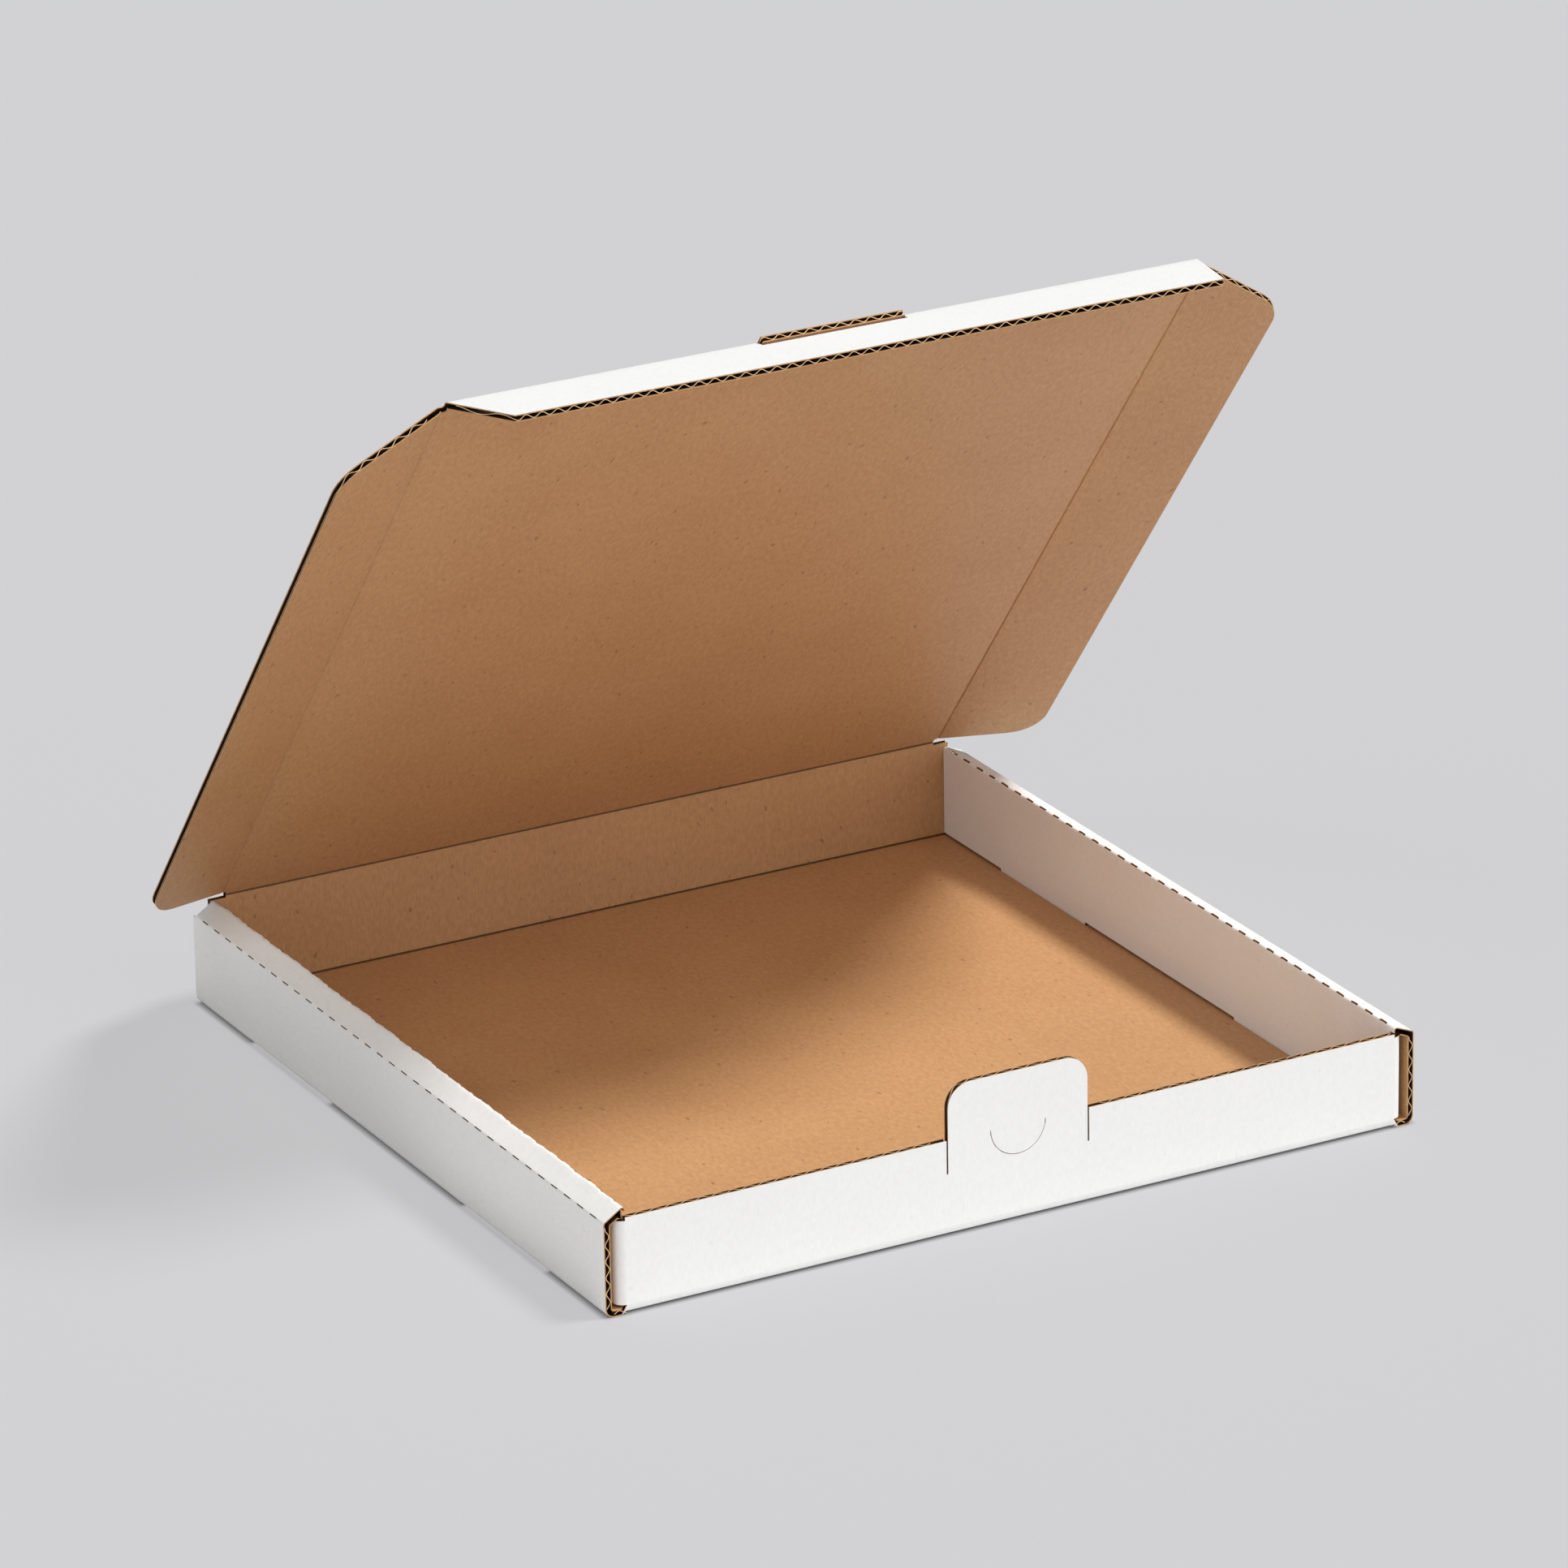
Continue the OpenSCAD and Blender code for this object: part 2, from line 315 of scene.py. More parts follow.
def turn_faces(piece, toward):
    """Makes the faces of a sheet agree, with most of them pointing a given way."""
    edit(piece)
    bpy.ops.mesh.select_all(action="SELECT")
    bpy.ops.mesh.remove_doubles(threshold=sheet_weld)
    bpy.ops.mesh.normals_make_consistent(inside=False)
    leave()
    if sum(face.area * face.normal.dot(toward) for face in piece.data.polygons) < 0:
        piece.data.flip_normals()


def thicken(piece, face_material):
    """A liner from its outer face, with painted flute shade on its back and bare core in its cut edge."""
    for material in (face_material, flute_shade, core, crease_shade):
        piece.data.materials.append(material)
    finish_modifier(
        piece, "SOLIDIFY", thickness=liner_t, offset=-1,
        material_offset=1, material_offset_rim=2)


def set_down(piece, place, body):
    """Moves a finished piece to its place, in metres, and smooths its curves."""
    activate(piece)
    piece.data.transform(Matrix.Scale(MM, 4) @ place)
    if place.determinant() < 0:
        piece.data.flip_normals()
    bpy.ops.object.shade_smooth_by_angle(angle=smooth_angle)
    if body:
        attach(piece, body)


# Materials

# Paper pattern: cells per metre of the blank, with fewer along the flutes where it is drawn out
cloud_scale = 45
felt_scale = 900
felt_stretch = 0.7
fibre_scale = 2600
fibre_stretch = 0.22
grain_scale = 4200
speck_scale = 620
speck_stretch = 0.6
# Share of each in the mottle, and the range of their sum that goes from paper to shade
cloud_share = 0.3
felt_share = 0.75
fibre_share = 0.7
flute_share = 0.015
mottle_range = (0.5, 1.25)
# Only the peaks of their noise are specks
speck_range = (0.77, 0.82)
# Felt and grain have equal shares in the relief, which is this deep
relief_share = 0.5
relief_depth = 0.06


def linear(red, green, blue):
    """Colour from given display values."""
    def channel(value):
        share = value / 255
        return share / 12.92 if share <= 0.04045 else ((share + 0.055) / 1.055) ** 2.4
    return (channel(red), channel(green), channel(blue), 1.0)


def wire(tree, source, target):
    tree.links.new(source, target)


def math_node(tree, operation, first, second=0):
    node = tree.nodes.new("ShaderNodeMath")
    node.operation = operation
    for socket, value in zip(node.inputs, (first, second)):
        if isinstance(value, (int, float)):
            socket.default_value = value
        else:
            wire(tree, value, socket)
    return node.outputs[0]


def noise_node(tree, vector, scale, detail, roughness=0.55):
    node = tree.nodes.new("ShaderNodeTexNoise")
    node.noise_dimensions = "2D"
    node.inputs["Scale"].default_value = scale
    node.inputs["Detail"].default_value = detail
    node.inputs["Roughness"].default_value = roughness
    wire(tree, vector, node.inputs["Vector"])
    return node.outputs["Fac"]


def stretch_node(tree, vector, along):
    node = tree.nodes.new("ShaderNodeMapping")
    node.inputs["Scale"].default_value = (1, along, 1)
    wire(tree, vector, node.inputs["Vector"])
    return node.outputs["Vector"]


def ramp_node(tree, fac, low, high):
    node = tree.nodes.new("ShaderNodeMapRange")
    node.interpolation_type = "SMOOTHSTEP"
    node.inputs["From Min"].default_value = low
    node.inputs["From Max"].default_value = high
    wire(tree, fac, node.inputs["Value"])
    return node.outputs["Result"]


def mix_node(tree, fac, first, second):
    node = tree.nodes.new("ShaderNodeMix")
    node.data_type = "RGBA"
    wire(tree, fac, node.inputs[0])
    wire(tree, first, node.inputs[6])
    wire(tree, second, node.inputs[7])
    return node.outputs[2]


def paper_group():
    """Paper of a liner, on the flat blank: clouding, felt mottle, fibres, specks and flute lines."""
    group = bpy.data.node_groups.new("paper", "ShaderNodeTree")
    for name, kind in (("Paper", "NodeSocketColor"), ("Shade", "NodeSocketColor"),
                       ("Speck", "NodeSocketColor"), ("Mottle", "NodeSocketFloat"),
                       ("Specks", "NodeSocketFloat"), ("Flutes", "NodeSocketFloat")):
        group.interface.new_socket(name=name, in_out="INPUT", socket_type=kind)
    for name, kind in (("Color", "NodeSocketColor"), ("Height", "NodeSocketFloat")):
        group.interface.new_socket(name=name, in_out="OUTPUT", socket_type=kind)
    given = group.nodes.new("NodeGroupInput").outputs
    result = group.nodes.new("NodeGroupOutput").inputs
    blank = group.nodes.new("ShaderNodeTexCoord").outputs["UV"]
    cloud = noise_node(group, blank, cloud_scale, 3)
    felt = noise_node(group, stretch_node(group, blank, felt_stretch), felt_scale, 4, 0.65)
    fibre = noise_node(group, stretch_node(group, blank, fibre_stretch), fibre_scale, 2, 0.6)
    grain = noise_node(group, blank, grain_scale, 2, 0.6)
    split = group.nodes.new("ShaderNodeSeparateXYZ")
    wire(group, blank, split.inputs[0])
    phase = math_node(group, "MULTIPLY", split.outputs[0], 2 * math.pi / (flute_pitch * MM))
    flute = math_node(group, "SINE", phase)
    uneven = math_node(group, "MULTIPLY", cloud, cloud_share)
    for layer, share in ((felt, felt_share), (fibre, fibre_share), (flute, flute_share)):
        uneven = math_node(group, "ADD", uneven, math_node(group, "MULTIPLY", layer, share))
    uneven = ramp_node(group, uneven, *mottle_range)
    amount = math_node(group, "MULTIPLY", uneven, given["Mottle"])
    colour = mix_node(group, amount, given["Paper"], given["Shade"])
    dark = noise_node(group, stretch_node(group, blank, speck_stretch), speck_scale, 1)
    dark = math_node(group, "MULTIPLY", ramp_node(group, dark, *speck_range), given["Specks"])
    colour = mix_node(group, dark, colour, given["Speck"])
    relief = math_node(group, "ADD", math_node(group, "MULTIPLY", felt, relief_share),
                       math_node(group, "MULTIPLY", grain, relief_share))
    ridges = math_node(group, "MULTIPLY", flute, given["Flutes"])
    wire(group, colour, result["Color"])
    wire(group, math_node(group, "ADD", relief, ridges), result["Height"])
    return group


def paper_material(name, paper, shade, speck, mottle=0.8, specks=0.3, flutes=0.0,
                   roughness=0.9, bump=0.5, sheen=0.25):
    material = bpy.data.materials.new(name)
    material.use_nodes = True
    tree = material.node_tree
    shader = tree.nodes["Principled BSDF"]
    node = tree.nodes.new("ShaderNodeGroup")
    node.node_tree = paper_surface
    for socket, value in (("Paper", paper), ("Shade", shade), ("Speck", speck),
                          ("Mottle", mottle), ("Specks", specks), ("Flutes", flutes)):
        node.inputs[socket].default_value = value
    relief = tree.nodes.new("ShaderNodeBump")
    relief.inputs["Strength"].default_value = bump
    relief.inputs["Distance"].default_value = relief_depth * MM
    wire(tree, node.outputs["Color"], shader.inputs["Base Color"])
    wire(tree, node.outputs["Height"], relief.inputs["Height"])
    wire(tree, relief.outputs["Normal"], shader.inputs["Normal"])
    shader.inputs["Roughness"].default_value = roughness
    shader.inputs["Specular IOR Level"].default_value = sheen
    return material


paper_surface = paper_group()
white = paper_material(
    "white_liner", linear(241, 241, 239), linear(230, 229, 226), linear(196, 190, 180),
    mottle=0.5, specks=0.12, flutes=0.03, roughness=0.62, bump=0.3)
kraft = paper_material(
    "kraft_liner", linear(200, 155, 109), linear(176, 129, 84), linear(112, 74, 44),
    specks=0.5, flutes=0.2, roughness=0.55, bump=0.45, sheen=0.6)
core = paper_material(
    "board_core", linear(196, 152, 106), linear(168, 122, 78), linear(120, 84, 52),
    roughness=0.85)
# Painted shade for a crease, much darker than the kraft
crease_shade = paper_material(
    "painted_crease_shade", linear(118, 82, 50), linear(96, 64, 38), linear(80, 54, 32),
    roughness=0.6)
# Painted shade for the hollows of the flutes, on the medium's faces and the liners' backs
flute_shade = paper_material(
    "painted_flute_shade", linear(66, 45, 28), linear(52, 35, 22), linear(44, 30, 18))
medium_edge = paper_material(
    "medium_cut_edge", linear(222, 190, 148), linear(196, 158, 112), linear(150, 112, 74))


# Flutes

def flutes(name, across, along):
    """The wavy medium on z = 0, its waves across X from one place to another, running along Y."""
    first = math.floor(across[0] / flute_pitch)
    count = math.ceil(across[1] / flute_pitch) - first
    wave = half_t - liner_t - medium_t / 2
    step = flute_pitch / flute_steps
    start = first * flute_pitch

    def height(i):
        return wave * math.cos(2 * math.pi * i / flute_steps)

    piece = plane(name, (start, along[0]), (start + step, along[1]), height(0))
    edit(piece)
    pick(piece, "EDGE", ends(lambda co: near(co.x, start + step)))
    bpy.ops.transform.translate(value=(0, 0, height(1) - height(0)))
    for i in range(1, flute_steps):
        pull((step, 0, height(i + 1) - height(i)))
    leave()
    finish_modifier(
        piece, "ARRAY", count=count, use_relative_offset=False, use_constant_offset=True,
        constant_offset_displace=(flute_pitch, 0, 0), use_merge_vertices=True, merge_threshold=wave_weld)
    edit(piece)
    cut_all((across[1], 0, 0), (1, 0, 0), drop=True)
    cut_all((across[0], 0, 0), (-1, 0, 0), drop=True)
    leave()
    return piece


def glue_in(piece, place, body):
    """Gives the medium its thickness and sets it between its liners."""
    lay_flat(piece, lambda co, normal: Vector((co.x, co.y)))
    # The medium's faces carry the painted flute shade, and its cut edge is pale
    piece.data.materials.append(flute_shade)
    piece.data.materials.append(medium_edge)
    finish_modifier(
        piece, "SOLIDIFY", thickness=medium_t, offset=0, use_even_offset=True,
        material_offset_rim=1)
    set_down(piece, place, body)


# Tray

def perforation_starts():
    count = math.floor((roll_back + side_end) / perf_pitch)
    first = (roll_back - side_end - (count - 1) * perf_pitch - perf_l) / 2
    return [first + i * perf_pitch for i in range(count)]


def in_dash(y):
    return any(start < y < start + perf_l for start in perforation_starts())


def strip_slope(side):
    return math.atan2(rises[side], roll_w - board_t)


def strip_height(side, x, depth):
    """Height of a top strip's face at a distance from the wall's outer face."""
    slope = strip_slope(side)
    lift = half_t - depth
    from_x = half_t - lift * math.sin(slope)
    from_z = wall_h - half_t + lift * math.cos(slope)
    return from_z + (x - from_x) * math.tan(slope)


def panel_gaps():
    inner = lock_at - lock_l / 2 + lock_gap
    outer = lock_at + lock_l / 2 - lock_gap
    return ((-front_y, -outer), (-inner, inner), (outer, front_y))


def in_slot(y):
    return near(abs(y), lock_at, lock_l / 2)


def roll_over(sheet, depth, side):
    """One side wall: up from the base, over the top strip and down inside."""
    wall_x = side * (side_x - depth)
    panel_x = side * (side_x - roll_w + depth)
    outer_z = strip_height(side, depth, depth)
    inner_z = strip_height(side, roll_w - depth, depth)
    pick(sheet, "EDGE", ends(lambda co: near(co.x, wall_x) and near(co.z, depth)))
    pull((0, 0, outer_z - depth))
    pull((panel_x - wall_x, 0, inner_z - outer_z))
    pull((0, 0, ply_gap - inner_z))
    round_folds(sheet, ends(lambda co: near(co.x, wall_x) and near(co.z, depth)),
                bend_out - depth, math.pi / 2, bend_steps)
    crease_r = max(half_t - depth, crease_r_min)
    slope = strip_slope(side)
    outer_fold = math.pi / 2 - slope
    inner_fold = math.pi / 2 + slope
    round_folds(sheet, ends(lambda co: near(co.x, wall_x) and near(co.z, outer_z)),
                crease_r, outer_fold, crease_steps)
    round_folds(sheet, ends(lambda co: near(co.x, panel_x) and near(co.z, inner_z)),
                crease_r, inner_fold, crease_steps)

    def on_panel(face):
        return near(face.calc_center_median().x, panel_x) and abs(face.normal.x) > panel_facing

    def on_strip(face):
        at = face.calc_center_median()
        inside = side * panel_x - touch < side * at.x < side * wall_x - touch
        return inside and at.z > wall_h - board_t - strip_drop

    def below_panel(face):
        at = face.calc_center_median()
        in_gap = any(low < at.y < high for low, high in panel_gaps())
        return on_panel(face) and at.z < panel_bottom and in_gap

    def past_back(face):
        return (on_panel(face) or on_strip(face)) and face.calc_center_median().y > roll_back

    def past_front(face):
        at = face.calc_center_median()
        return on_panel(face) and at.y < -panel_front and at.z < wall_h + ply_gap

    def over_slot(co):
        in_bend = side * co.x > slot_in and co.z < slot_h + depth
        return in_bend and in_slot(co.y) and not near(co.x, panel_x)

    # Lines that keep the relief of the cut lips beside their crease
    pick(sheet, "FACE", on_panel)
    cut((0, 0, inner_z - lip_l), (0, 0, 1))
    pick(sheet, "FACE", on_strip)
    cut((panel_x + side * lip_l, 0, 0), (1, 0, 0))
    # Locking tabs reach into the slots, and the panel stands clear of the base beside them
    pick(sheet, "FACE", on_panel)
    cut((0, 0, panel_bottom), (0, 0, 1))
    delete_faces(sheet, below_panel)
    delete_faces(sheet, past_back)
    delete_faces(sheet, past_front)
    # Slots through the fold between the base and the wall
    pick(sheet, "FACE", middle(lambda co: side * co.x > side_x - bend_out and co.z < wall_h / 2))
    cut((0, 0, slot_h), (0, 0, 1))
    delete_faces(sheet, middle(over_slot))
    # Cuts of the two perforated creases
    outer_angle = math.pi * 3 / 4 + slope / 2
    inner_angle = math.pi / 4 + slope / 2
    outer_facing = Vector((-side * math.cos(outer_angle), 0, math.sin(outer_angle)))
    inner_facing = Vector((-side * math.cos(inner_angle), 0, math.sin(inner_angle)))
    for facing, fold in ((outer_facing, outer_fold), (inner_facing, inner_fold)):
        spread = dash_steps * fold / crease_steps

        def is_dash(face):
            at = face.calc_center_median()
            on_crease = side * at.x > 0 and at.z > wall_h - 2 * board_t
            return on_crease and abs(face.normal.dot(facing)) > math.cos(spread) and in_dash(at.y)
        delete_faces(sheet, is_dash)
    # The cut lips of the inner crease stand proud of the bridges between them
    reach = lip_l - lip_margin

    def in_lip(vert):
        beside = near(vert.co.x, panel_x, reach) and side * vert.co.x > 0
        return beside and vert.co.z > inner_z - reach and in_dash(vert.co.y)
    pick(sheet, "VERT", in_lip)
    bpy.ops.transform.translate(value=inner_facing * scallop)


def end_wall(sheet, depth, end, top):
    """Front or back wall with the corner flaps that reach between the side walls' plies."""
    wall_y = end * (front_y - depth)
    lean = corner_leans[end]
    flat_x = wall_flat_x - lean

    def in_width(co):
        return abs(co.x) < flat_x + touch

    def in_wall(co):
        return near(co.y, wall_y) and in_width(co)

    def at_base_end(co):
        return near(co.y, end * side_end) and near(co.z, depth) and in_width(co)

    def on_fold(vert):
        off_walls = not near(vert.co.y, wall_y) and not near(vert.co.z, depth)
        beside = near(vert.co.y, wall_y, press_w / 2) and near(vert.co.z, depth, press_w / 2)
        return beside and off_walls and in_width(vert.co)

    def in_crease_shade(co):
        reach = press_w * square_share
        return near(co.y, wall_y, reach) and near(co.z, depth, reach) and abs(co.x) < flat_x
    pick(sheet, "EDGE", ends(at_base_end))
    bpy.ops.transform.translate(value=(0, wall_y - end * side_end, 0))
    pull((0, 0, top - depth))
    for z in (corner_bottom, corner_tops[end]):
        pick(sheet, "FACE", middle(lambda co: near(co.y, wall_y) and co.z > depth + touch))
        cut((0, 0, z), (0, 0, 1))
    # Corner flaps
    for side in (-1, 1):
        bend_x = side * (flat_x + bend_out - depth)

        def at_wall_end(co):
            in_height = corner_bottom - touch < co.z < corner_tops[end] + touch
            return near(co.x, side * flat_x) and near(co.y, wall_y) and in_height
        pick(sheet, "EDGE", ends(at_wall_end))
        pull((side * (bend_out - depth), 0, 0))
        pull((side * lean, -end * (corner_l - depth), 0))
        round_folds(sheet, ends(lambda co: near(co.x, bend_x) and near(co.y, wall_y)),
                    bend_out - depth, math.pi / 2, bend_steps)
    round_folds(sheet, ends(lambda co: in_wall(co) and near(co.z, depth)),
                bend_out - depth, math.pi / 2, bend_steps)
    # The kraft side's crease, pressed in and given painted shade
    if depth:
        pick(sheet, "VERT", on_fold)
        down = press * square_share
        bpy.ops.transform.translate(value=(0, end * down, -down))
        darken(sheet, middle(in_crease_shade))


def lock_tab_slits(sheet, depth):
    """Room for the lock tab and its side slits in the front wall."""
    wall_y = -(front_y - depth)
    outer = tab_w / 2 + slit_w

    def in_wall(face):
        return near(face.calc_center_median().y, wall_y) and face.calc_center_median().z > bend_out
    for x in (-outer, -tab_w / 2, tab_w / 2, outer):
        pick(sheet, "FACE", in_wall)
        cut((x, 0, 0), (1, 0, 0))
    for z in (wall_h - tab_slit, wall_h - seam):
        pick(sheet, "FACE", in_wall)
        cut((0, 0, z), (0, 0, 1))
    delete_faces(sheet, lambda face: in_wall(face) and abs(face.calc_center_median().x) < outer
                 and face.calc_center_median().z > wall_h - seam)
    delete_faces(sheet, lambda face: in_wall(face)
                 and tab_w / 2 < abs(face.calc_center_median().x) < outer
                 and face.calc_center_median().z > wall_h - tab_slit)


def tray_blank(co, normal):
    """Place in the flat blank of a point of the folded tray."""
    if abs(normal.x) > wall_facing:
        return Vector((math.copysign(side_x + co.z, co.x), co.y))
    if abs(normal.y) > wall_facing:
        return Vector((co.x, math.copysign(front_y + co.z, co.y)))
    return Vector((co.x, co.y))


def tray_liner(name, depth, toward, face_material):
    """One liner of the tray, folded up whole from the base."""
    wall_x = side_x - depth
    sheet = plane(name, (-wall_x, -side_end), (wall_x, side_end), depth)
    edit(sheet)
    for x in (wall_flat_x, wall_flat_x - corner_leans[-1], slot_in):
        cut_all((x, 0, 0), (1, 0, 0))
        cut_all((-x, 0, 0), (1, 0, 0))
    places = [roll_back, -panel_front]
    places += [side * (lock_at + end * reach) for side in (-1, 1) for end in (-1, 1)
               for reach in (lock_l / 2, lock_l / 2 - lock_gap)]
    # Each cut of a perforation is in thirds, so that its lips can stand proud between its ends
    places += [start + third * perf_l / 3 for start in perforation_starts() for third in range(4)]
    for y in places:
        cut_all((0, y, 0), (0, 1, 0))
    for side in (-1, 1):
        roll_over(sheet, depth, side)
    end_wall(sheet, depth, -1, wall_h)
    end_wall(sheet, depth, 1, hinge.z - seam)
    lock_tab_slits(sheet, depth)
    leave()
    turn_faces(sheet, toward)
    lay_flat(sheet, tray_blank)
    thicken(sheet, face_material)
    bpy.ops.mesh.primitive_cylinder_add(
        vertices=circle_steps, radius=thumb_r + ply_gap, depth=6 * board_t,
        location=(0, -front_y, wall_h), rotation=(math.pi / 2, 0, 0))
    thumb_cut = bpy.context.object
    finish_modifier(sheet, "BOOLEAN", operation="DIFFERENCE", solver="EXACT", object=thumb_cut)
    bpy.data.objects.remove(thumb_cut)
    set_down(sheet, Matrix(), "tray")
    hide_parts("tray")


def tray_flutes():
    """The medium where the tray's cut edges show it."""
    upright = Matrix.Rotation(math.pi / 2, 4, "X")
    sideways = Matrix.Rotation(math.pi / 2, 4, "Y")
    wall_z = (panel_bottom, wall_h - board_t)
    front_end = wall_flat_x - corner_leans[-1]
    for side, word in ((-1, "left"), (1, "right")):
        spans = (("wall", side_x - half_t, (-side_end, side_end)),
                 ("panel", side_x - roll_w + half_t, (-panel_front, roll_back)))
        for part, x, along in spans:
            piece = flutes(f"tray_{word}_{part}_flutes", (-wall_z[1], -wall_z[0]), along)
            glue_in(piece, Matrix.Translation((side * x, 0, 0)) @ sideways, "tray")
        corner = flutes(f"tray_{word}_base_flutes", (front_end, side_x - bend_out),
                        (-side_end, side_end))
        turn = Matrix.Scale(side, 4, (1, 0, 0))
        glue_in(corner, Matrix.Translation((0, 0, half_t)) @ turn, "tray")
        front = flutes(f"tray_{word}_front_flutes", (tab_w / 2 + flute_pitch, front_end),
                       (bend_out + crush_l, wall_h))
        glue_in(front, Matrix.Translation((0, half_t - front_y, 0)) @ turn @ upright, "tray")


# Lid, flaps and lock tab

def panel_liner(name, kraft_side, fold, across, length, groove=ear_press):
    """One liner of a flap, flat on its own middle plane, with a strip of the parent across the crease."""
    side = 1 if kraft_side else -1
    short = side * half_t * math.tan(fold / 2)
    z = side * half_t

    def on_fold(co, reach):
        return near(co.y, short, reach) and near(co.z, z, reach)
    sheet = plane(name, (across[0], short), (across[1], length), z)
    edit(sheet)
    pick(sheet, "EDGE", ends(lambda co: near(co.y, short)))
    reach = seam - short
    pull((0, -reach * math.cos(fold), reach * math.sin(fold)))
    if fold > 0:
        radius = press_w / math.tan(fold / 2) if kraft_side else white_fold_r
        round_folds(sheet, ends(lambda co: on_fold(co, tight)), radius, fold, press_steps)
        if kraft_side:
            inward = Vector((0, -math.sin(fold / 2), -math.cos(fold / 2)))
            pick(sheet, "VERT", lambda vert: on_fold(vert.co, press_w / 3))
            bpy.ops.transform.translate(value=inward * groove)
            # Only a deep crease gets painted shade
            if groove > ear_press:
                darken(sheet, middle(lambda co: on_fold(co, press_w / 2)))
    leave()
    return sheet


def hang(sheet, kraft_side, place, blank):
    """Finishes a flap's liner and sets it down in its place."""
    turn_faces(sheet, Vector((0, 0, 1 if kraft_side else -1)))
    lay_flat(sheet, lambda co, normal: blank(co))
    thicken(sheet, kraft if kraft_side else white)
    set_down(sheet, place, None)
    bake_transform(sheet)


def crease_place(place, offset, fold):
    """Frame of a flap on its parent's frame: its crease along X, the flap along Y."""
    return place @ offset @ Matrix.Rotation(fold, 4, "X")


quarter = Matrix.Rotation(math.pi / 2, 4, "Z")
lid_place = Matrix.Translation(hinge) @ Matrix.Rotation(math.pi - lid_open, 4, "X")
flap_place = crease_place(lid_place, Matrix.Translation((0, lid_l, 0)), flap_fold)
left_place = crease_place(
    lid_place, Matrix.Translation((-lid_half_w, 0, 0)) @ quarter, left_fold)
right_place = crease_place(
    lid_place, Matrix.Translation((lid_half_w, 0, 0)) @ quarter.inverted(), right_fold)
tab_place = Matrix.Translation((0, half_t - front_y, wall_h)) @ (
    Matrix.Rotation(math.pi, 4, "Z") @ Matrix.Rotation(math.pi / 2, 4, "X"))


def make_lid():
    x = lid_half_w - seam
    for kraft_side in (True, False):
        sheet = panel_liner("lid_kraft" if kraft_side else "lid_white", kraft_side, hinge_fold,
                            (-x, x), lid_l - seam, groove=press)
        edit(sheet)
        for place in (-slot_x, slot_x):
            cut_all((place, 0, 0), (1, 0, 0))
        pick(sheet, "EDGE", ends(lambda co: near(co.y, lid_l - seam) and abs(co.x) < slot_x + touch))
        pull((0, seam + slot_tab_l, 0))
        leave()
        hang(sheet, kraft_side, lid_place, lambda co: Vector((co.x, front_y + hinge.z + co.y)))
        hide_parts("lid")
    medium = flutes("lid_flutes", (-x, x), (crush_l, lid_l - crush_l))
    glue_in(medium, lid_place, "lid")
    medium = flutes("lid_slot_tab_flutes", (-slot_x, slot_x), (lid_l - crush_l, lid_l + slot_tab_l))
    glue_in(medium, lid_place, "lid")


def make_front_flap():
    outline = [Vector(p) for p in (
        (-flap_root_x, 0), (flap_root_x, 0), (flap_tip_x, flap_l), (-flap_tip_x, flap_l))]
    for kraft_side in (True, False):
        sheet = panel_liner("front_flap_kraft" if kraft_side else "front_flap_white", kraft_side,
                            flap_fold, (-flap_root_x, flap_root_x), flap_l)
        trim(sheet, outline)
        edit(sheet)
        for place in (-hole_x, hole_x):
            cut_all((place, 0, 0), (1, 0, 0))
        cut_all((0, hole_l, 0), (0, 1, 0))
        delete_faces(sheet, middle(lambda co: abs(co.x) < hole_x and co.y < hole_l))
        leave()
        hang(sheet, kraft_side, flap_place,
             lambda co: Vector((co.x, front_y + hinge.z + lid_l + co.y)))
        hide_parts("lid_front_flap")
    medium = flutes("front_flap_flutes", (-flap_root_x, flap_root_x), (crush_l, flap_l))
    trim(medium, outline)
    glue_in(medium, flap_place, "front_flap")


def ear_outline(side):
    """Side flap's outline, its crease along X and the flap along Y."""
    rear = ear_inset
    front = lid_l - ear_inset
    points = [
        (rear, 0, 0), (front, 0, 0),
        (front - ear_w * math.tan(ear_front_slant), ear_w, ear_front_r),
        (rear + ear_w * math.tan(ear_rear_slant), ear_w, ear_rear_r)]
    if side > 0:
        points = [(-x, y, radius) for x, y, radius in points]
        points = [points[1], points[0], points[3], points[2]]
    return rounded(points)


def make_ear(word, side, place, fold):
    body = f"{word}_flap"
    outline = ear_outline(side)
    across = (outline[0].x, outline[1].x)

    def ear_blank(co):
        return Vector((side * (lid_half_w + co.y), front_y + hinge.z - side * co.x))
    for kraft_side in (True, False):
        sheet = panel_liner(f"{body}_{'kraft' if kraft_side else 'white'}", kraft_side, fold,
                            across, ear_w)
        trim(sheet, outline)
        hang(sheet, kraft_side, place, ear_blank)
        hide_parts(f"lid_{word}_flap")
    # The flutes of the lid run on along the side flap's crease
    medium = flutes(f"{body}_flutes", (crush_l, ear_w), (0, lid_l))
    mirror = Matrix.Scale(-1, 4, (1, 0, 0))
    medium.data.transform(quarter if side > 0 else mirror @ quarter)
    trim(medium, outline)
    glue_in(medium, place, body)


